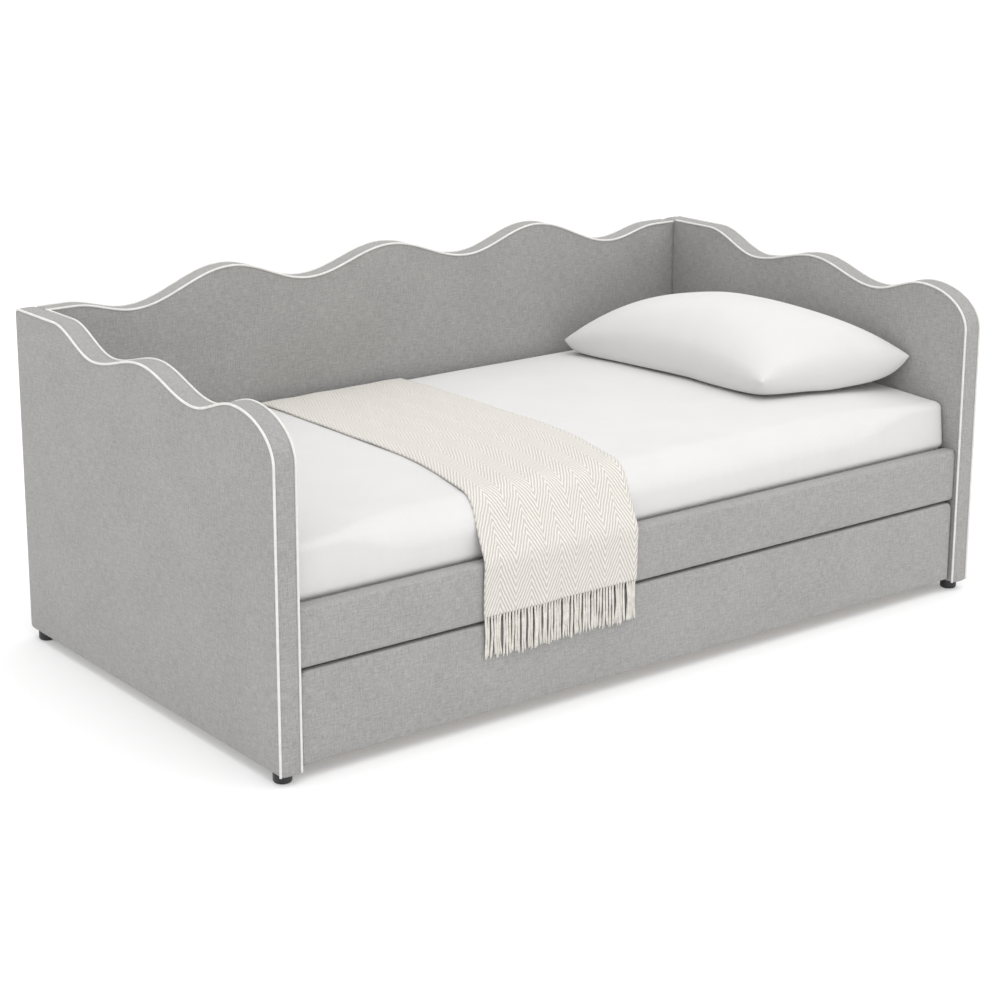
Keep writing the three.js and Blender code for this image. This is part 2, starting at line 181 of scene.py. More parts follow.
def apply_modifiers(piece):
    """Keeps the piece's modified shape as its mesh."""
    evaluated = piece.evaluated_get(bpy.context.evaluated_depsgraph_get())
    mesh = bpy.data.meshes.new_from_object(evaluated)
    piece.modifiers.clear()
    piece.data = mesh


def place_piece(piece, body, slot, material, *nodes):
    """Gives a piece its material and its body, and hides the CAD nodes that it replaces; slot is not used."""
    piece.data.materials.clear()
    piece.data.materials.append(material)
    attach(piece, body)
    if nodes:
        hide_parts(*nodes)


def add_uv(mesh, uv_of_vertex):
    layer = mesh.uv_layers.new(name="UVMap")
    index = np.zeros(len(mesh.loops), np.int32)
    mesh.loops.foreach_get("vertex_index", index)
    layer.data.foreach_set("uv", np.asarray(uv_of_vertex, np.float32)[index].ravel())


def coordinates(mesh):
    co = np.zeros(len(mesh.vertices) * 3, np.float32)
    mesh.vertices.foreach_get("co", co)
    return co.reshape(-1, 3).astype(float)


def set_coordinates(mesh, points):
    mesh.vertices.foreach_set("co", np.asarray(points, np.float32).ravel())
    mesh.update()


def grid_faces(rows, columns, offset=0, wrap_columns=False):
    faces = []
    span = columns if wrap_columns else columns - 1
    for r in range(rows - 1):
        for c in range(span):
            d = (c + 1) % columns
            a, b = offset + r * columns + c, offset + r * columns + d
            faces.append((a, b, b + columns, a + columns))
    return faces


def tube_faces(rings, sides, base=0):
    """Faces round a tube's rings of points and over its ends, whose middles come next."""
    faces = grid_faces(rings, sides, base, True)
    start, last = base + rings * sides, base + (rings - 1) * sides
    for j in range(sides):
        k = (j + 1) % sides
        faces.append((start, base + k, base + j))
        faces.append((start + 1, last + j, last + k))
    return faces


def smooth_noise(points, scale, seed):
    """Smooth noise, about -1 to 1: a few sine waves in directions drawn from the seed."""
    random = np.random.default_rng(seed)
    waves = 7
    total = np.zeros(len(points))
    for _ in range(waves):
        direction = random.normal(size=3)
        direction *= random.uniform(0.6, 1.5) / (np.linalg.norm(direction) * scale)
        total += np.sin(points @ direction * 2 * math.pi + random.uniform(0, 2 * math.pi))
    return total / waves * 1.6


# ---- outlines ----
def lengths_along(line):
    """How far along the line each of its points is."""
    return np.concatenate([[0], np.cumsum(np.linalg.norm(np.diff(line, axis=0), axis=1))])


def spaced(points, step):
    """The same line with evenly spaced points."""
    points = np.asarray(points, float)
    along = lengths_along(points)
    count = max(2, int(math.ceil(along[-1] / step)) + 1)
    at = np.linspace(0, along[-1], count)
    return np.stack([np.interp(at, along, points[:, k]) for k in range(points.shape[1])], axis=1)


def smooth_line(line, rounds):
    line = line.copy()
    for _ in range(rounds):
        line[1:-1] = (line[:-2] + 2 * line[1:-1] + line[2:]) / 4
    return line


def half_waves(extremes, steps=26):
    points = []
    for (u0, v0), (u1, v1) in zip(extremes[:-1], extremes[1:]):
        for s in np.linspace(0, 1, steps, endpoint=False):
            points.append((u0 + (u1 - u0) * s, v0 + (v1 - v0) * (1 - math.cos(math.pi * s)) / 2))
    points.append(extremes[-1])
    return points


def arm_top(front, back):
    """The top of an arm from the foot of its round front corner to the back, as (y, z)."""
    crest_y, crest_z = ARM_WAVE[-1]
    angles = np.linspace(0, math.pi / 2, 30, endpoint=False)
    corner = [(crest_y - (crest_y - front) * math.cos(a), crest_z - ARM_CORNER_DROP * (1 - math.sin(a)))
              for a in angles]
    return corner + half_waves(ARM_WAVE[::-1]) + [(back, ARM_WAVE[0][1])]


def back_top(half_width):
    outward = half_waves(BACK_WAVE[::-1])
    right = outward + [(half_width, BACK_WAVE[0][1])]
    left = [(-u, v) for u, v in right[:0:-1]]
    return left + right


def trundle_top(half_width, top, round_radius):
    angles = np.linspace(math.pi, math.pi / 2, 10)
    left = [(-half_width + round_radius * (1 + math.cos(a)), top - round_radius * (1 - math.sin(a)))
            for a in angles]
    right = [(-u, v) for u, v in left[::-1]]
    return left + right


# ---- upholstered panels ----
def ring_normals(ring):
    """Outward normals of a closed anticlockwise line, longer at sharp corners so offsets stay even."""
    before = ring - np.roll(ring, 1, axis=0)
    after = np.roll(ring, -1, axis=0) - ring
    unit = [d / np.maximum(np.linalg.norm(d, axis=1, keepdims=True), 1e-9) for d in (before, after)]
    sides = [np.stack([d[:, 1], -d[:, 0]], axis=1) for d in unit]
    normal = sides[0] + sides[1]
    normal /= np.maximum(np.linalg.norm(normal, axis=1, keepdims=True), 1e-9)
    return normal / np.maximum((normal * sides[0]).sum(1, keepdims=True), 0.6)


def distance_to_ring(points, ring):
    nearest = np.full(len(points), np.inf)
    for a, b in zip(ring, np.roll(ring, -1, axis=0)):
        d = b - a
        t = np.clip(((points - a) @ d) / max(d @ d, 1e-12), 0, 1)
        nearest = np.minimum(nearest, np.linalg.norm(points - a - t[:, None] * d, axis=1))
    return nearest


def round_corner(ring, corner, radius):
    """Bends the two straight sides that meet at a corner on the ring's +u end into an arc."""
    centre = corner - radius * np.array([1, np.sign(corner[1] - ring[:, 1].mean())])
    to_corner = (corner - ring) / (corner - centre)
    in_corner = (to_corner[:, 0] < 1) & (to_corner[:, 1] > -1e-6) & (to_corner[:, 1] < 1)
    for i in np.flatnonzero(in_corner):
        along, beside = to_corner[i]
        angle = math.pi / 4 * (1 + beside - along)
        ring[i] = centre + (corner - centre) * np.array([math.sin(angle), math.cos(angle)])


def panel_ring(top, bottom_v, share, rear_round):
    """A panel's outline, anticlockwise: along the bottom, up the +u end, back along the top and down."""
    length = lengths_along(top)
    even = top[0, 0] + (top[-1, 0] - top[0, 0]) * length / length[-1]
    bottom_u = (1 - BOTTOM_EVENNESS) * top[:, 0] + BOTTOM_EVENNESS * even
    bottom = np.stack([bottom_u, np.full(len(top), bottom_v)], axis=1)
    left = [top[0] + (bottom[0] - top[0]) * s for s in share[1:-1]]
    right = [bottom[-1] + (top[-1] - bottom[-1]) * s for s in share[1:-1]]
    ring = np.array(list(bottom) + right + list(top[::-1]) + left)
    if rear_round:
        for corner in (bottom[-1].copy(), top[-1].copy()):
            round_corner(ring, corner, rear_round)
    return ring


def panel_face(edge, count, rows, share):
    """Rows of points that fill the outline edge, from bottom to top."""
    low = edge[:count]
    high = edge[count + rows - 1:2 * count + rows - 1][::-1]
    face = low[None] * (1 - share[:, None, None]) + high[None] * share[:, None, None]
    face[:, -1] = edge[count - 1:count + rows]
    face[:, 0] = np.concatenate([edge[:1], edge[2 * count + rows - 1:][::-1], high[:1]])
    return face.reshape(-1, 2)


def padded_panel(name, top, bottom_v, thickness, to_space, profile, rows, step, seed, rear_round=0):
    """A padded board between a straight bottom and the line top, both running towards +u.

    profile lists (inset, depth share) of the side strip from one face's edge to the middle of the strip.
    to_space turns (u, v, w) into a point of the frame, with w from -thickness/2 to thickness/2.
    rear_round is the radius of the two corners at the +u end.
    """
    top = spaced(top, step)
    if rear_round:
        top = np.concatenate([top[:-3], spaced(top[-3:], rear_round / 5)])
    count = len(top)
    share = np.linspace(0, 1, rows + 1)
    share -= ROW_GATHER * np.sin(2 * math.pi * share) / (2 * math.pi)
    ring = panel_ring(top, bottom_v, share, rear_round)
    normals = ring_normals(ring)
    edge = ring - normals * profile[0][0]
    flat = panel_face(edge, count, rows, share)
    crown = FACE_CROWN * (1 - np.exp(-distance_to_ring(flat, edge) / CROWN_REACH))
    points, faces = [], []
    for sign in (1, -1):
        w = sign * (thickness / 2 + crown)
        faces.extend(grid_faces(rows + 1, count, len(points)))
        space = to_space(flat[:, 0], flat[:, 1], w)
        ripple = sum(smooth_noise(space, size, seed + extra + (sign > 0)) * height
                     for size, height, extra in RIPPLES)
        ripple *= np.minimum(1, crown / FACE_CROWN * 3)
        points.extend(to_space(flat[:, 0], flat[:, 1], w + sign * ripple))
    ring_index = (list(range(count))
                  + [r * count + count - 1 for r in range(1, rows)]
                  + [rows * count + i for i in range(count - 1, -1, -1)]
                  + [r * count for r in range(rows - 1, 0, -1)])
    size = len(ring_index)
    loops = [ring_index]
    for inset, depth in profile[1:] + [(inset, -depth) for inset, depth in profile[:0:-1] if depth > 0]:
        loops.append([len(points) + i for i in range(size)])
        line = ring - normals * inset
        points.extend(to_space(line[:, 0], line[:, 1], np.full(size, depth * thickness / 2)))
    loops.append([(rows + 1) * count + i for i in ring_index])
    for one, other in zip(loops[:-1], loops[1:]):
        faces.extend((one[i], one[(i + 1) % size], other[(i + 1) % size], other[i]) for i in range(size))
    return mesh_object(name, points, faces)


# The side strip of a piped panel dips at the seam, and that of a plain board is a soft round edge.
PIPED_PROFILE = [(SEAM_INSET, 1.0), (0.0006, 0.9), (-STRIP_CROWN * 0.55, 0.68), (-STRIP_CROWN, 0.35),
                 (-STRIP_CROWN, 0.0)]


def round_profile(radius, thickness, steps=6):
    profile = []
    for i in range(steps + 1):
        angle = math.pi / 2 * i / steps
        depth = 1 - 2 * radius * (1 - math.cos(angle)) / thickness
        profile.append((radius * (1 - math.sin(angle)), depth))
    return profile + [(-0.0006, 0.0)]


# ---- piping ----
def tube(name, line, radius, sides):
    """A tube along a line of points, closed at both ends, with UVs along it and round it."""
    line = np.asarray(line, float)
    tangent = np.gradient(line, axis=0)
    tangent /= np.linalg.norm(tangent, axis=1, keepdims=True)
    normal = np.zeros_like(line)
    guess = np.array([1.0, 0, 0]) if abs(tangent[0][0]) < 0.9 else np.array([0, 1.0, 0])
    for i, t in enumerate(tangent):
        guess = guess - t * (guess @ t)
        guess /= np.linalg.norm(guess)
        normal[i] = guess
    side = np.cross(tangent, normal)
    angles = np.linspace(0, 2 * math.pi, sides, endpoint=False)[:, None]
    rings = line[:, None] + radius * (normal[:, None] * np.cos(angles) + side[:, None] * np.sin(angles))
    points = list(rings.reshape(-1, 3)) + [line[0], line[-1]]
    piece = mesh_object(name, points, tube_faces(len(line), sides))
    turns = lengths_along(line) / PIPING_TWILL
    add_uv(piece.data, [(a, k / sides) for a in turns for k in range(sides)] + [(0, 0), (turns[-1], 0)])
    return piece


# ---- node helpers ----
class Surface:
    """A new material, with short ways to add nodes to it."""

    def __init__(self, name):
        self.material = bpy.data.materials.new(name)
        self.material.use_nodes = True
        self.tree = self.material.node_tree

    def node(self, kind):
        return self.tree.nodes.new(kind)

    def put(self, node, values):
        """Links or sets a node's inputs, by their names or numbers; a colour may be three numbers."""
        for key, value in values.items():
            if isinstance(value, bpy.types.NodeSocket):
                self.tree.links.new(value, node.inputs[key])
            else:
                node.inputs[key].default_value = (*value, 1) if isinstance(value, tuple) else value
        return node.outputs

    def fill(self, node, *values):
        """Links or sets a node's first inputs, in order."""
        return self.put(node, dict(enumerate(values)))

    def calc(self, operation, *values):
        node = self.node("ShaderNodeMath")
        node.operation = operation
        return self.fill(node, *values)[0]

    def add(self, a, b):
        return self.calc("ADD", a, b)

    def times(self, a, b):
        return self.calc("MULTIPLY", a, b)

    def wave(self, value, turn):
        return self.calc("SINE", self.times(value, turn))

    def vector(self, x=0.0, y=0.0, z=0.0):
        return self.fill(self.node("ShaderNodeCombineXYZ"), x, y, z)[0]

    def parts_of(self, source):
        return self.fill(self.node("ShaderNodeSeparateXYZ"), source)

    def place(self, kind="Object"):
        """The piece's own coordinates, in metres, or its UVs."""
        return self.node("ShaderNodeTexCoord").outputs[kind]

    def noise(self, where, scale, detail=2.0, roughness=0.5):
        values = {"Vector": where, "Scale": scale, "Detail": detail, "Roughness": roughness}
        return self.put(self.node("ShaderNodeTexNoise"), values)["Fac"]

    def remap(self, value, low, high, to_low=0.0, to_high=1.0):
        return self.fill(self.node("ShaderNodeMapRange"), value, low, high, to_low, to_high)[0]

    def mix(self, share, first, second):
        node = self.node("ShaderNodeMix")
        node.data_type = "RGBA"
        return self.put(node, {0: share, 6: first, 7: second})[2]

    def bump(self, height, distance, strength, under=None):
        values = {"Strength": strength, "Distance": distance, "Height": height}
        if under is not None:
            values["Normal"] = under
        return self.put(self.node("ShaderNodeBump"), values)[0]

    def shade(self, colour, roughness, more):
        """Links or sets the shader's own inputs and gives the material."""
        values = {"Base Color": colour, "Roughness": roughness, **more}
        self.put(self.tree.nodes["Principled BSDF"], values)
        return self.material

    def cloth_axes(self):
        """The piece's coordinates, and two in the cloth: along it, and up or across it."""
        where = self.place()
        x, y, z = self.parts_of(where)
        normal = self.node("ShaderNodeNewGeometry").outputs["True Normal"]
        level = self.remap(self.calc("ABSOLUTE", self.parts_of(normal)[2]), 0.6, 0.8)
        along = self.add(x, y)
        across = self.calc("SUBTRACT", x, y)
        up = self.add(self.times(z, self.calc("SUBTRACT", 1.0, level)), self.times(across, level))
        return where, along, up

    def weave(self, along, up, pitch):
        """A plain weave: threads that rise and fall over each other."""
        turn = 2 * math.pi / pitch
        return self.times(self.wave(along, turn), self.wave(up, turn))

    def flecks(self, along, up, length, thick, depth=0.0, detail=2):
        """Noise drawn out into flecks: length along the cloth, thick up it."""
        long, across = self.calc("DIVIDE", along, length), self.calc("DIVIDE", up, thick)
        return self.noise(self.vector(long, across, depth), 1.0, detail)

    def slubs(self, along, up, thick, length):
        """Threads of uneven thickness both ways, from 0 to 1."""
        one = self.flecks(along, up, length, thick)
        other = self.flecks(along, up, thick, length, 4.0)
        return self.times(self.add(one, other), 0.5)


# ---- materials ----
def upholstery_material():
    """Grey linen weave of uneven threads, with light and dark flecks."""
    grey = Surface("grey_linen_look")
    where, along, up = grey.cloth_axes()
    fine = grey.slubs(along, up, 0.0013, 0.010)
    broad = grey.slubs(along, up, 0.0032, 0.026)
    cloud = grey.noise(where, 7.0, 4)
    weave = grey.weave(along, up, 0.0017)
    shade = grey.add(grey.remap(fine, 0.32, 0.68, -0.1, 0.55), grey.remap(broad, 0.32, 0.68, -0.1, 0.65))
    shade = grey.add(shade, grey.remap(weave, -1, 1, -0.05, 0.05))
    shade = grey.add(shade, grey.remap(cloud, 0.3, 0.7, -0.08, 0.08))
    colour = grey.mix(shade, (0.262, 0.258, 0.252), (0.406, 0.401, 0.392))
    light = grey.flecks(along, up, 0.0045, 0.0018, detail=1)
    dark = grey.flecks(along, up, 0.0022, 0.0060, 9.0, detail=1)
    colour = grey.mix(grey.remap(light, 0.62, 0.72, 0.0, 0.5), colour, (0.482, 0.476, 0.464))
    colour = grey.mix(grey.remap(dark, 0.63, 0.73, 0.0, 0.45), colour, (0.183, 0.180, 0.175))
    height = grey.add(grey.times(weave, 0.35), grey.times(fine, 1.4))
    return grey.shade(colour, 0.92, {"Specular IOR Level": 0.2, "Sheen Weight": 0.12, "Sheen Roughness": 0.5,
                                     "Normal": grey.bump(height, 0.0006, 0.55)})


def piping_material():
    """White cotton twill wound round a cord."""
    white = Surface("white_piping_cord")
    u, v, _ = white.parts_of(white.place("UV"))
    twist = white.add(white.times(u, 14.0), white.times(v, 3.0))
    twill = white.wave(twist, 2 * math.pi)
    patch = white.noise(white.place(), 60.0, 2)
    shade = white.remap(white.add(white.times(twill, 0.12), patch), 0.3, 0.8)
    colour = white.mix(shade, (0.69, 0.68, 0.655), (0.80, 0.79, 0.765))
    return white.shade(colour, 0.85, {"Sheen Weight": 0.1, "Normal": white.bump(twill, 0.0003, 0.4)})


def cotton_material(name, light, dark, wrinkle, sheen):
    """Fine plain cotton, a little wavy."""
    cotton = Surface(name)
    where, along, up = cotton.cloth_axes()
    weave = cotton.weave(along, up, 0.0009)
    threads = cotton.slubs(along, up, 0.0009, 0.02)
    cloud = cotton.noise(where, 9.0, 3)
    shade = cotton.remap(cotton.add(threads, cotton.times(cloud, 0.6)), 0.5, 1.1)
    small = cotton.bump(cotton.add(weave, threads), 0.0002, 0.35)
    soft = cotton.bump(cotton.noise(where, 14.0, 3, 0.6), wrinkle, 0.5, small)
    return cotton.shade(cotton.mix(shade, dark, light), 0.88,
                        {"Specular IOR Level": 0.25, "Sheen Weight": sheen, "Normal": soft})


def throw_material():
    """Herringbone: columns of slanting yarn that change direction, drawn from UVs in metres."""
    cream = Surface("cream_herringbone_knit")
    u, v, _ = cream.parts_of(cream.place("UV"))
    column = cream.calc("PINGPONG", u, HERRINGBONE_COLUMN)
    slant = cream.add(v, cream.times(column, HERRINGBONE_SLOPE))
    wander = cream.noise(cream.vector(cream.times(u, 45.0), cream.times(v, 45.0)), 1.0, 2)
    phase = cream.add(cream.times(slant, 2 * math.pi / HERRINGBONE_PITCH), cream.times(wander, 4.5))
    rib = cream.calc("SINE", phase)
    yarn = cream.flecks(u, slant, 0.0016, 0.0035)
    fuzz = cream.noise(cream.vector(u, v, 0.0), 1400.0, 2)
    # Towards the back of the bed the pattern is worn faint, around its mean shade.
    mean = 0.6
    worn = cream.remap(v, 0.30, 0.85, 0.30, 1.0)
    contrast = cream.calc("SUBTRACT", cream.remap(rib, -0.9, 0.5), mean)
    rib_share = cream.add(mean, cream.times(contrast, worn))
    shade = cream.add(cream.times(rib_share, 0.72), cream.remap(yarn, 0.3, 0.7, 0.0, 0.3))
    height = cream.add(rib, cream.add(cream.times(yarn, 0.9), cream.times(fuzz, 0.35)))
    colour = cream.mix(shade, (0.470, 0.439, 0.392), (0.793, 0.767, 0.727))
    return cream.shade(colour, 0.95, {"Specular IOR Level": 0.15, "Sheen Weight": 0.25,
                                      "Normal": cream.bump(height, 0.0012, 0.6)})


def yarn_material():
    """Plied cream yarn."""
    yarn = Surface("cream_fringe_yarn")
    u, v, _ = yarn.parts_of(yarn.place("UV"))
    ply = yarn.wave(yarn.add(yarn.times(u, 5.0), v), 2 * math.pi)
    tone = yarn.noise(yarn.place(), 90.0, 2)
    shade = yarn.remap(yarn.add(yarn.times(ply, 0.2), tone), 0.2, 0.8)
    colour = yarn.mix(shade, (0.61, 0.577, 0.520), (0.84, 0.816, 0.768))
    return yarn.shade(colour, 0.95, {"Sheen Weight": 0.25, "Normal": yarn.bump(ply, 0.0004, 0.5)})


def wood_material(name, runs_along_x):
    """Pine with its grain along the board, which lies along X or along Y."""
    pine = Surface(name)
    where = pine.place()
    x, y, z = pine.parts_of(where)
    if runs_along_x:
        x, y = y, x
    board = pine.calc("FLOOR", pine.times(x, 12.0))
    bend = pine.times(pine.noise(where, 2.5, 2), 0.5)
    rings = pine.add(pine.times(pine.add(x, z), 26.0), pine.times(bend, 9.0))
    drawn_out = pine.vector(pine.add(rings, board), pine.times(y, 0.9), pine.times(z, 14.0))
    grain = pine.noise(drawn_out, 2.2, 5, 0.62)
    pores = pine.noise(pine.vector(pine.times(x, 900.0), pine.times(y, 22.0), pine.times(z, 900.0)), 1.0, 2)
    colour = pine.mix(pine.remap(grain, 0.3, 0.7), (0.50, 0.33, 0.17), (0.74, 0.56, 0.36))
    colour = pine.mix(pine.remap(pores, 0.55, 0.75, 0.0, 0.35), colour, (0.42, 0.27, 0.14))
    return pine.shade(colour, pine.remap(grain, 0.3, 0.7, 0.72, 0.55),
                      {"Normal": pine.bump(pine.add(grain, pores), 0.0004, 0.4)})


def steel_material():
    """Zinc-plated steel: small crystals and faint scuffs."""
    steel = Surface("zinc_plated_steel")
    where = steel.place()
    spangle = steel.put(steel.node("ShaderNodeTexVoronoi"), {"Scale": 220.0, "Vector": where})
    tone = steel.parts_of(spangle["Color"])[0]
    scuff = steel.noise(where, 160.0, 4, 0.7)
    shade = steel.times(steel.add(tone, scuff), 0.5)
    colour = steel.mix(shade, (0.42, 0.43, 0.45), (0.66, 0.67, 0.69))
    return steel.shade(colour, steel.remap(scuff, 0.3, 0.7, 0.28, 0.48),
                       {"Metallic": 0.95, "Normal": steel.bump(scuff, 0.0002, 0.3)})


def plastic_material(name, dark, light, roughness):
    """Moulded plastic with a fine grain and faint scuffs."""
    plastic = Surface(name)
    where = plastic.place()
    grain = plastic.noise(where, 1500.0, 2)
    scuff = plastic.noise(where, 70.0, 4, 0.7)
    rough = plastic.remap(scuff, 0.3, 0.7, roughness - 0.08, roughness + 0.1)
    return plastic.shade(plastic.mix(plastic.remap(scuff, 0.4, 0.75), dark, light), rough,
                         {"Normal": plastic.bump(grain, 0.0002, 0.4)})


FABRIC = upholstery_material()
PIPING = piping_material()
SHEETING = cotton_material("white_fitted_sheet", (0.688, 0.683, 0.673), (0.643, 0.638, 0.628), 0.003, 0.20)
PILLOWCASE = cotton_material("white_pillowcase", (0.692, 0.685, 0.674), (0.652, 0.645, 0.634), 0.002, 0.35)
HERRINGBONE = throw_material()
YARN = yarn_material()
WOOD_ALONG_X = wood_material("planed_pine_lengthways", True)
WOOD_ALONG_Y = wood_material("planed_pine_crossways", False)
STEEL = steel_material()
BLACK_PLASTIC = plastic_material("black_foot_plastic", (0.012, 0.012, 0.013), (0.035, 0.035, 0.036), 0.42)
GREY_PLASTIC = plastic_material("caster_wheel_nylon", (0.035, 0.036, 0.038), (0.075, 0.076, 0.08), 0.5)


# ---- arms, back, rail and trundle front ----
def add_piping(name, line, to_space, depth, node):
    line = spaced(line, LINE_STEP)
    route = to_space(line[:, 0], line[:, 1], np.full(len(line), depth))
    welt = tube(name, route, PIPING_RADIUS, PIPING_SIDES)
    place_piece(welt, "bed_frame", "white_piping", PIPING, node)


def place_upholstery(panel, body, node):
    place_piece(panel, body, "grey_fabric", FABRIC, node)


def facing_front(low, high):
    """How a panel that faces -Y turns (u, v, w) into a point: u along X, v up, w towards the front."""
    middle_y = (low.y + high.y) / 2
    return lambda u, v, w: np.stack([u, middle_y - np.asarray(w), v], axis=1)


def add_arm(side):
    low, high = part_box(f"{side}_arm_panel")
    middle_x, thickness = (low.x + high.x) / 2, high.x - low.x

    def to_space(u, v, w):
        return np.stack([middle_x + np.asarray(w), u, v], axis=1)

    top = arm_top(low.y, high.y)
    seed = 11 if side == "left" else 31
    panel = padded_panel(f"{side}_arm_upholstery", top, low.z, thickness, to_space, PIPED_PROFILE,
                         rows=52, step=0.012, seed=seed, rear_round=REAR_ROUND)
    place_upholstery(panel, "bed_frame", f"{side}_arm_panel")
    outward = -1 if side == "left" else 1
    edge = [(low.y, low.z)] + top
    for place, direction in (("outer", outward), ("inner", -outward)):
        node = f"{side}_arm_{place}_welt"
        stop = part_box(node)[1].y
        line = [p for p in edge if p[0] < stop - 0.001] + [(stop, edge[-1][1])]
        add_piping(f"{side}_arm_{place}_piping", line, to_space, direction * thickness / 2, node)


def add_back():
    low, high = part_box("back_panel")
    thickness = high.y - low.y
    to_space = facing_front(low, high)
    top = back_top(high.x)
    panel = padded_panel("back_upholstery", top, low.z, thickness, to_space, PIPED_PROFILE,
                         rows=48, step=0.014, seed=51)
    place_upholstery(panel, "bed_frame", "back_panel")
    end_height = BACK_WAVE[0][1]
    for place, direction in (("front", 1), ("rear", -1)):
        node = f"back_{place}_welt"
        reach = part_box(node)[1].x
        between = [p for p in top if abs(p[0]) < reach - 0.001]
        line = [(-reach, end_height)] + between + [(reach, end_height)]
        add_piping(f"back_{place}_piping", line, to_space, direction * thickness / 2, node)


def add_front_board(node, body, edge_radius, corner_radius, seed):
    low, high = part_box(node)
    thickness = high.y - low.y
    if corner_radius:
        top = trundle_top(high.x, high.z, corner_radius)
    else:
        top = [(low.x, high.z), (high.x, high.z)]
    board = padded_panel(f"{node}_upholstery", top, low.z, thickness, facing_front(low, high),
                         round_profile(edge_radius, thickness), rows=26, step=0.010, seed=seed)
    place_upholstery(board, body, node)


# ---- mattress ----
def mattress_height(x, y, half_x, half_y):
    """How far the mattress top stands above its edge at a point; the sheet pulls its corners down."""
    crown = MATTRESS_CROWN * (1 - np.abs(x / half_x) ** 4) * (1 - np.abs(y / half_y) ** 4)
    from_corner = np.hypot(half_x - np.abs(x), half_y - np.abs(y))
    return crown - MATTRESS_CORNER_DIP * np.exp(-(from_corner / MATTRESS_DIP_REACH) ** 2)


def box_points(half, counts):
    """The six faces of a box as grids of points, each with as many steps as counts along its axes."""
    points, faces = [], []
    axes = [np.linspace(-1, 1, n + 1) for n in counts]
    for fixed in range(3):
        u_axis, v_axis = [a for a in range(3) if a != fixed]
        for sign in (-1, 1):
            u, v = np.meshgrid(axes[u_axis], axes[v_axis])
            q = np.zeros((u.size, 3))
            q[:, u_axis], q[:, v_axis], q[:, fixed] = u.ravel(), v.ravel(), sign
            faces.extend(grid_faces(len(axes[v_axis]), len(axes[u_axis]), sum(len(p) for p in points)))
            points.append(q * np.array(half))
    return np.concatenate(points), faces


def rounded_block(half, corner, edge, counts):
    """The surface of a box with round upright corners and round level edges, as points and faces.

    edge is the radius of the level edges: a number, or a function of the points. It may be wider than
    corner only away from the corners.
    """
    hx, hy, hz = half
    q, faces = box_points(half, counts)
    radius = edge(q) if callable(edge) else np.full(len(q), edge)
    wall = np.array([hx, hy]) - np.abs(q[:, :2])
    nearest = wall.argmin(1)
    core = np.clip(q[:, :2], [corner - hx, corner - hy], [hx - corner, hy - corner])
    d = q[:, :2] - core
    length = np.linalg.norm(d, axis=1)
    square = np.abs(d).max(1)
    outer = length > 0
    direction = np.zeros((len(q), 2))
    direction[np.arange(len(q)), nearest] = np.sign(q[np.arange(len(q)), nearest])
    direction[outer] = d[outer] / length[outer, None]
    inset = np.where(outer, corner - square, wall.min(1))
    xy = np.where(outer[:, None], core + direction * square[:, None], q[:, :2])
    rise = np.abs(q[:, 2]) - (hz - radius)
    outward = radius - inset
    turn = (rise > 0) & (outward > 0)
    scale = np.where(turn, np.maximum(rise, outward) / np.maximum(np.hypot(rise, outward), 1e-9), 1.0)
    xy = xy - direction * np.where(turn, outward * (1 - scale), 0)[:, None]
    z = np.where(turn, np.sign(q[:, 2]) * (hz - radius + rise * scale), q[:, 2])
    return np.column_stack([xy, z]), faces


def add_mattress():
    """The mattress in its fitted sheet: a soft front edge and a front that swells over the rail's ledge."""
    low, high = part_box("mattress")
    centre = (low + high) / 2
    half = (high - low) / 2
    half.x += MATTRESS_SWELL
    rail_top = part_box("front_rail")[1].z

    def edge_radius(points):
        past = np.abs(points[:, 0]) - half.x + MATTRESS_END_REACH
        near_end = np.clip(past / MATTRESS_END_TURN, 0, 1)
        front = MATTRESS_EDGE + (MATTRESS_END_EDGE - MATTRESS_EDGE) * near_end ** 2 * (3 - 2 * near_end)
        return np.where(points[:, 1] < 0, front, MATTRESS_END_EDGE)

    points, faces = rounded_block(half, MATTRESS_CORNER, edge_radius, MATTRESS_STEPS)
    upper = np.clip((points[:, 2] / half.z - 0.2) / 0.8, 0, 1)
    points[:, 2] += upper * mattress_height(points[:, 0], points[:, 1], half.x, half.y)
    points[:, 2] += upper * smooth_noise(points, 0.30, 71) * 0.0008
    pull = smooth_noise(points * np.array([1, 1, 0.25]), 0.05, 73) * 0.0006
    open_height = np.clip((points[:, 2] + centre.z - rail_top) / (high.z - rail_top), 0, 1)
    bulge = MATTRESS_BULGE * np.minimum(open_height / 0.10, 1) ** 0.5 * (1 - open_height)
    near_front = np.clip((0.03 - half.y - points[:, 1]) / 0.03, 0, 1)
    points[:, 1] += (pull - bulge) * near_front
    points += np.array(centre)
    piece = mesh_object("mattress_in_sheet", points, faces)
    weld(piece, 1e-5)
    place_piece(piece, "mattress", "mattress_cover", SHEETING, "mattress")
    return centre, half


# ---- pillow ----
def pillow_sheet_pair(size, counts):
    """Two layers of cloth joined all round, a little apart in the middle."""
    nx, ny = counts
    u, v = np.meshgrid(np.linspace(-1, 1, nx + 1), np.linspace(-1, 1, ny + 1))
    u, v = u.ravel(), v.ravel()
    rim = (np.abs(u) > 0.999) | (np.abs(v) > 0.999)
    gap = 0.012 * (1 - u ** 2) * (1 - v ** 2)
    top = np.column_stack([u * size[0] / 2, v * size[1] / 2, gap])
    count = len(top)
    lower_index = np.where(rim, np.arange(count), 0)
    inner = np.flatnonzero(~rim)
    lower_index[inner] = count + np.arange(len(inner))
    bottom = top[inner] * np.array([1, 1, -1])
    faces = grid_faces(ny + 1, nx + 1)
    faces += [tuple(lower_index[list(f)][::-1]) for f in grid_faces(ny + 1, nx + 1)]
    return np.concatenate([top, bottom]), faces


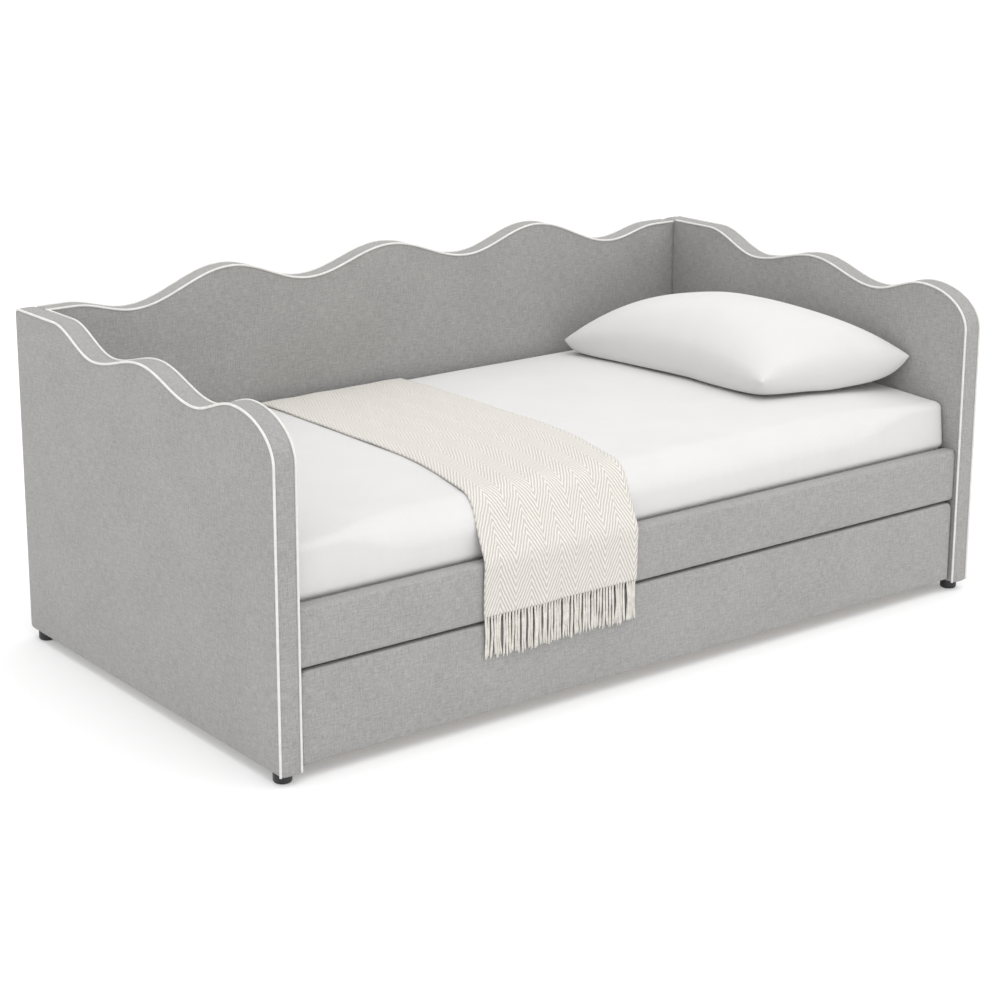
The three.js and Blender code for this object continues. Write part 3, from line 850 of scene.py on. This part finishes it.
def inflate(piece, frames, pressure):
    """Runs Blender's cloth with air pressure and no gravity, then keeps the result as the mesh."""
    scene = bpy.context.scene
    cloth = piece.modifiers.new("inflate", "CLOTH")
    settings = cloth.settings
    settings.quality = 6
    settings.mass = 0.25
    settings.air_damping = 2.0
    settings.tension_stiffness = 18
    settings.compression_stiffness = 14
    settings.shear_stiffness = 6
    settings.bending_stiffness = 1.2
    settings.use_pressure = True
    settings.uniform_pressure_force = pressure
    settings.effector_weights.gravity = 0
    cloth.collision_settings.use_collision = False
    cloth.collision_settings.use_self_collision = False
    cloth.point_cache.frame_start, cloth.point_cache.frame_end = 1, frames
    for number in range(1, frames + 1):
        scene.frame_set(number)
    apply_modifiers(piece)
    scene.frame_set(1)


def subdivide(piece, levels):
    modifier = piece.modifiers.new("smooth", "SUBSURF")
    modifier.levels = levels
    modifier.render_levels = levels
    apply_modifiers(piece)
    piece.data.shade_smooth()


def soften(mesh, rounds):
    def smooth(work):
        for _ in range(rounds):
            bmesh.ops.smooth_vert(work, verts=work.verts, factor=0.5,
                                  use_axis_x=True, use_axis_y=True, use_axis_z=True)

    edit_mesh(mesh, smooth)


def plump_shape(u, v, upper):
    """A smooth pillow to settle the simulated one: its sides draw in and its tips stay thin."""
    height = np.clip((1 - u ** 2) * (1 - v ** 2), 0, 1) ** 0.42
    height *= 1 - 0.5 * np.clip(np.abs(u * v), 0, 1) ** 4
    side = 1 - 0.035 * (1 - v ** 2)
    end = 1 - 0.025 * (1 - u ** 2)
    return np.column_stack([u * side, v * end, np.where(upper, height, -height)])


def lay_on_mattress(unit, rest):
    """Stretches a pillow of unit size between its four tips and flattens it where it lies."""
    unit[:, :2] /= np.abs(unit[:, :2]).max(0)
    u, v, rise = unit.T
    back_left, front_left, front_right, back_right = np.array(PILLOW_TIPS)
    s, t = (u[:, None] + 1) / 2, (v[:, None] + 1) / 2
    place = ((1 - s) * t * back_left + (1 - s) * (1 - t) * front_left
             + s * (1 - t) * front_right + s * t * back_right)
    toward_tip = np.abs(u * v) ** 1.2
    seam = PILLOW_SEAM + (place[:, 2] - PILLOW_SEAM) * toward_tip
    above = rise * (1 + PILLOW_FULLER * ((u - v + 2) / 4) ** 2) * PILLOW_RISE
    below = PILLOW_SEAM * np.tanh(np.minimum(rise, 0) * PILLOW_RISE * PILLOW_UNDERSIDE / PILLOW_SEAM)
    height = seam + np.where(rise > 0, above, below)
    height = (height + np.hypot(height, PILLOW_CONTACT)) / 2
    return np.column_stack([place[:, :2], rest + height])


def add_pillow(centre, half):
    """The pillow in its case, on a mattress with this centre and half size."""
    rest = centre.z + half.z + MATTRESS_CROWN + 0.001
    points, faces = pillow_sheet_pair(PILLOW_CLOTH, (44, 68))
    piece = mesh_object("pillow_in_case", points, faces)
    flat = coordinates(piece.data)
    u, v = (flat[:, :2] / (np.array(PILLOW_CLOTH) / 2)).T
    shape = plump_shape(u, v, flat[:, 2] >= 0)
    inflate(piece, 26, 9.0)
    soften(piece.data, 18)
    blown = coordinates(piece.data)
    blown /= np.abs(blown).max(0)
    shape = (1 - PILLOW_BLOWN) * shape + PILLOW_BLOWN * blown
    set_coordinates(piece.data, shape)
    subdivide(piece, 1)
    set_coordinates(piece.data, lay_on_mattress(coordinates(piece.data), rest))
    place_piece(piece, "pillow", "pillow_cotton", PILLOWCASE, "pillow")


# ---- throw ----
def arc(centre, radius, start, end, count):
    return [tuple(centre + radius * np.array([math.cos(t), math.sin(t)]))
            for t in np.linspace(start, end, count)]


def throw_path(centre, half):
    """The throw's line, as (y, z): along the mattress, over its front edge and down past the rail."""
    top = centre.z + half.z + THROW_CLEAR
    front = centre.y - half.y
    rail_low, rail_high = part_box("front_rail")
    throw_low, throw_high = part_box("throw")
    near = MATTRESS_EDGE + THROW_CLEAR
    hang = rail_low.y - THROW_CLEAR - FACE_CROWN
    over_mattress = np.array([front + MATTRESS_EDGE, top - near])
    over_rail = np.array([hang + THROW_BEND, rail_high.z - RAIL_EDGE])
    gap = over_mattress - over_rail
    lean = math.atan2(gap[1], gap[0]) + math.acos((THROW_BEND - near) / np.linalg.norm(gap))
    points = [(throw_high.y, top)]
    points += arc(over_mattress, near, math.pi / 2, lean, 12)
    points += arc(over_rail, THROW_BEND, lean, math.pi, 8)
    points.append((hang, throw_low.z))
    return smooth_line(spaced(points, LINE_STEP), 6)


def add_throw(centre, half):
    """The throw's cloth, draped over a mattress with this centre and half size, and its fringe."""
    path = throw_path(centre, half)
    across = np.linspace(0, THROW_WIDTH, THROW_COLUMNS)
    along = lengths_along(path)
    points = []
    for (y, z), s in zip(path, along):
        slide = np.clip((s - THROW_TURN[0]) / (THROW_TURN[1] - THROW_TURN[0]), 0, 1)
        start = THROW_LEFT[0] + (THROW_LEFT[1] - THROW_LEFT[0]) * slide ** 2 * (3 - 2 * slide)
        drop = np.clip((path[0][1] - z) / 0.2, 0, 1)
        level = (1 - min(1, drop * 4)) ** 2
        for a in across:
            x = start + a
            lift = level * mattress_height(x - centre.x, min(max(y, -0.48), 0.48), half.x, half.y)
            ruffle = THROW_RUFFLE * (1 + math.sin(a * 47 + s * 9.0) * math.sin(s * 23 + a * 11))
            wave = THROW_WAVE * (1 + math.sin(a * 29 + 0.8 + s * 2.2)) * drop
            points.append((x, y - wave - ruffle * (1 - level), z + lift + ruffle * level))
    points = np.array(points)
    cloth = mesh_object("throw_cloth", points, grid_faces(len(path), len(across)))
    add_uv(cloth.data, [(a, s) for s in along for a in across])
    solid = cloth.modifiers.new("thickness", "SOLIDIFY")
    solid.thickness = THROW_THICKNESS
    solid.offset = 0
    apply_modifiers(cloth)
    cloth.data.shade_smooth()
    place_piece(cloth, "throw", "throw_wool", HERRINGBONE, "throw")
    fringe = add_fringe(points[-len(across):], across)


def add_fringe(hem, across):
    """Yarn tassels along the hem, each of a few strands, leaning together in uneven clumps."""
    random = np.random.default_rng(23)
    points, faces, uv = [], [], []
    sides, steps = 7, 12
    s = np.linspace(0, 1, steps)
    count = int(across[-1] / TASSEL_PITCH)
    at = (np.arange(count) + 0.5) / count * across[-1]
    clump = np.repeat(np.arange(count), random.integers(2, 5, count))[:count]
    middle = np.array([at[clump == c].mean() for c in clump])
    gather = (middle - at) * random.uniform(0.05, 0.34, count)
    lean = random.normal(0, 0.0011, count)
    for i in range(count):
        root = np.array([np.interp(at[i], across, hem[:, k]) for k in range(3)])
        length = FRINGE_LENGTH * random.uniform(0.94, 1.03)
        for strand in range(TASSEL_STRANDS):
            phase = 2 * math.pi * strand / TASSEL_STRANDS + random.uniform(-0.4, 0.4)
            spread = random.uniform(0.0002, 0.0011)
            cut = length * random.uniform(0.95, 1.02)
            radius = random.uniform(0.00135, 0.0017)
            twist = phase + s * random.uniform(2.6, 4.6)
            out = 0.0012 + spread * s
            line = np.column_stack([
                root[0] + lean[i] * s + gather[i] * np.sin(math.pi * s ** 0.85) + out * np.cos(twist),
                root[1] + 0.0004 + out * np.sin(twist) * 0.7 - 0.0008 * s,
                root[2] + 0.004 - cut * s])
            add_strand(points, faces, uv, line, radius, sides)
    fringe = mesh_object("throw_fringe", points, faces)
    add_uv(fringe.data, uv)
    place_piece(fringe, "throw", "throw_wool", YARN)
    return fringe


def add_strand(points, faces, uv, line, radius, sides):
    """Adds a strand of yarn down a line; its last ring draws in to a tip."""
    base, steps = len(points), len(line)
    turns = 7
    angles = [2 * math.pi * j / sides for j in range(sides)]
    for k, p in enumerate(line):
        reach = radius * (0.6 if k == steps - 1 else 1.0)
        points.extend(p + reach * np.array([math.cos(a), math.sin(a), 0]) for a in angles)
        uv.extend((k / steps * turns, j / sides) for j in range(sides))
    tip = np.array([0, 0, 0.0008])
    points.extend([line[0] + tip, line[-1] - tip])
    uv.extend([(0, 0), (turns, 0)])
    faces.extend(tube_faces(steps, sides, base))


# ---- timber, casters, brackets and feet ----
def add_timber(node, body):
    """A board with eased edges in place of the CAD block."""
    low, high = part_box(node)
    half = (high - low) / 2
    ease = min(0.003, min(half) * 0.3)
    counts = [max(4, int(h * 2 / 0.06)) for h in half]
    points, faces = rounded_block(half, ease * 1.01, ease, counts)
    piece = mesh_object(f"{node}_timber", points + np.array((low + high) / 2), faces)
    weld(piece, 1e-6)
    grain = WOOD_ALONG_X if half.x > half.y else WOOD_ALONG_Y
    place_piece(piece, body, "pine_wood", grain, node)


def lathe(name, profile, segments, axis, centre):
    """A turned piece from (distance along the axis, radius) pairs."""
    angles = np.linspace(0, 2 * math.pi, segments, endpoint=False)
    points = []
    for along, radius in profile:
        for angle in angles:
            ring = (radius * math.cos(angle), radius * math.sin(angle))
            points.append((along, *ring) if axis == "x" else (*ring, along))
    faces = grid_faces(len(profile), segments, 0, True)
    piece = mesh_object(name, np.array(points) + np.array(centre), faces)
    weld(piece, 1e-6)
    piece.data.set_sharp_from_angle(angle=math.radians(40))
    return piece


def rounded_profile(corners, radius, closed=False, steps=3):
    """Rounds the corners of a profile line."""
    result = []
    count = len(corners)
    for i, point in enumerate(corners):
        p = np.array(point)
        if not closed and i in (0, count - 1):
            result.append(p)
            continue
        a = np.array(corners[i - 1]) - p
        b = np.array(corners[(i + 1) % count]) - p
        reach = min(radius, np.linalg.norm(a) * 0.45, np.linalg.norm(b) * 0.45)
        a, b = p + a / np.linalg.norm(a) * reach, p + b / np.linalg.norm(b) * reach
        for s in np.linspace(0, 1, steps + 1):
            result.append((1 - s) ** 2 * a + 2 * s * (1 - s) * p + s * s * b)
    if closed:
        result.append(result[0])
    return [tuple(p) for p in result]


def mirrored(corners):
    """A profile line and its mirror image, run back from the last point."""
    return corners + [(-along, radius) for along, radius in corners[::-1]]


def add_foot(node):
    low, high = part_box(node)
    radius = (high.x - low.x) / 2
    height = high.z - low.z
    corners = [(0, 0.0), (0, radius * 0.86), (height * 0.16, radius), (height, radius), (height, 0.0)]
    centre = ((low.x + high.x) / 2, (low.y + high.y) / 2, low.z)
    piece = lathe(f"{node}_moulding", rounded_profile(corners, 0.0016), 48, "z", centre)
    place_piece(piece, "bed_frame", "foot_plastic", BLACK_PLASTIC, node)


def add_wheel(node, body):
    """A moulded wheel: a hub round its bore, a dished web and a tread with eased edges."""
    low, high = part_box(node)
    half, radius = (high.x - low.x) / 2, (high.z - low.z) / 2
    bore, dish = 0.0044, 0.003
    corners = mirrored([(-half, bore), (-half, bore + 0.004), (-half + dish, bore + 0.006),
                        (-half + dish, radius * 0.72), (-half, radius * 0.80), (-half, radius * 0.93),
                        (-half + dish, radius)])
    profile = rounded_profile(corners, 0.0015, closed=True, steps=2)
    piece = lathe(f"{node}_moulding", profile, 56, "x", (low + high) / 2)
    place_piece(piece, body, "wheel_plastic", GREY_PLASTIC, node)


def add_axle(node):
    low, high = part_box(node)
    half, head = (high.x - low.x) / 2, (high.z - low.z) / 2
    shaft, thick = 0.004, 0.0024
    corners = mirrored([(-half, 0.0), (-half, head * 0.8), (-half + thick * 0.6, head),
                        (-half + thick, head), (-half + thick, shaft)])
    profile = rounded_profile(corners, 0.0004, steps=2)
    piece = lathe(f"{node}_turned", profile, 36, "x", (low + high) / 2)
    place_piece(piece, "trundle", "steel", STEEL, node)


def add_bevelled_copy(node, body, width):
    """The CAD node's own shape with its edges eased, for pressed steel."""
    def ease(work):
        bmesh.ops.remove_doubles(work, verts=work.verts, dist=1e-6)
        bmesh.ops.dissolve_limit(work, angle_limit=math.radians(2), verts=work.verts, edges=work.edges)
        bend = math.radians(35)
        sharp = [e for e in work.edges if len(e.link_faces) == 2 and e.calc_face_angle(0) > bend]
        bmesh.ops.bevel(work, geom=sharp, offset=width, segments=2, affect="EDGES", profile=0.6,
                        clamp_overlap=True)
        bmesh.ops.triangulate(work, faces=[f for f in work.faces if len(f.verts) > 4])

    mesh = frame["nodes"][node].data.copy()
    edit_mesh(mesh, ease)
    mesh.materials.clear()
    piece = link_object(f"{node}_pressed", mesh)
    mesh.shade_smooth()
    mesh.set_sharp_from_angle(angle=math.radians(30))
    place_piece(piece, body, "steel", STEEL, node)


# ---- floor, light and camera ----
def add_stage():
    """A plain pale floor, partly bright by itself so that it stays white where the bed shades it least."""
    low, _ = CAD_BOX
    size = 40.0
    corners = [(-size, -size, low.z), (size, -size, low.z), (size, size, low.z), (-size, size, low.z)]
    mesh = bpy.data.meshes.new("studio_floor")
    mesh.from_pydata(corners, [], [(0, 1, 2, 3)])
    floor = link_object("studio_floor", mesh)
    material = Surface("pale_studio_floor").shade((0.71, 0.71, 0.71), 1.0, {
        "Emission Color": (1, 1, 1), "Emission Strength": 0.24, "Specular IOR Level": 0.0})
    mesh.materials.append(material)


def add_soft_sun(name, direction, strength, spread):
    data = bpy.data.lights.new(name, "SUN")
    data.energy = strength
    data.angle = math.radians(spread)
    light = link_object(name, data)
    light.rotation_mode = "QUATERNION"
    light.rotation_quaternion = Vector(direction).to_track_quat("Z", "Y")


def add_lights():
    world = bpy.data.worlds.new("studio")
    bpy.context.scene.world = world
    world.use_nodes = True
    background = world.node_tree.nodes["Background"]
    background.inputs["Color"].default_value = (1, 1, 1, 1)
    background.inputs["Strength"].default_value = 0.96
    add_soft_sun("overhead_softbox", (0.10, -0.20, 1.00), 1.14, 60)
    add_soft_sun("front_softbox", (-0.60, -0.80, 0.75), 0.385, 75)
    bpy.context.scene.view_settings.view_transform = "Standard"


def add_camera():
    azimuth, elevation, roll = (math.radians(a) for a in (CAMERA_AZIMUTH, CAMERA_ELEVATION, CAMERA_ROLL))
    back = Vector((math.sin(azimuth) * math.cos(elevation), -math.cos(azimuth) * math.cos(elevation),
                   math.sin(elevation)))
    level = (-back).cross(Vector((0, 0, 1))).normalized()
    upright = level.cross(-back)
    right = level * math.cos(roll) + upright * math.sin(roll)
    up = upright * math.cos(roll) - level * math.sin(roll)
    data = bpy.data.cameras.new("photo_camera")
    data.sensor_width = 36
    data.lens = CAMERA_LENS
    data.shift_x, data.shift_y = CAMERA_SHIFT
    camera = link_object("photo_camera", data)
    turn = Matrix((right, up, back)).transposed()
    camera.matrix_world = Matrix.Translation(Vector(CAMERA_AT)) @ turn.to_4x4()
    bpy.context.scene.camera = camera


# ---- assembly ----
add_camera()
add_lights()
add_stage()
for side in ("left", "right"):
    add_arm(side)
add_back()
add_front_board("front_rail", "bed_frame", RAIL_EDGE, 0, 81)
add_front_board("trundle_front", "trundle", TRUNDLE_EDGE, TRUNDLE_CORNER, 91)
mattress_centre, mattress_half = add_mattress()
add_pillow(mattress_centre, mattress_half)
add_throw(mattress_centre, mattress_half)
for body, nodes in frame["record"]["behaviour"]["bodies"].items():
    for node in nodes:
        if "slat" in node or "ledger" in node or "cleat" in node or "board" in node:
            add_timber(node, body)
        elif node.endswith("_foot"):
            add_foot(node)
        elif node.endswith("_caster_wheel"):
            add_wheel(node, body)
        elif node.endswith("_caster_axle"):
            add_axle(node)
        elif node.endswith("_fork") or node.endswith("_bracket"):
            add_bevelled_copy(node, body, 0.0005)
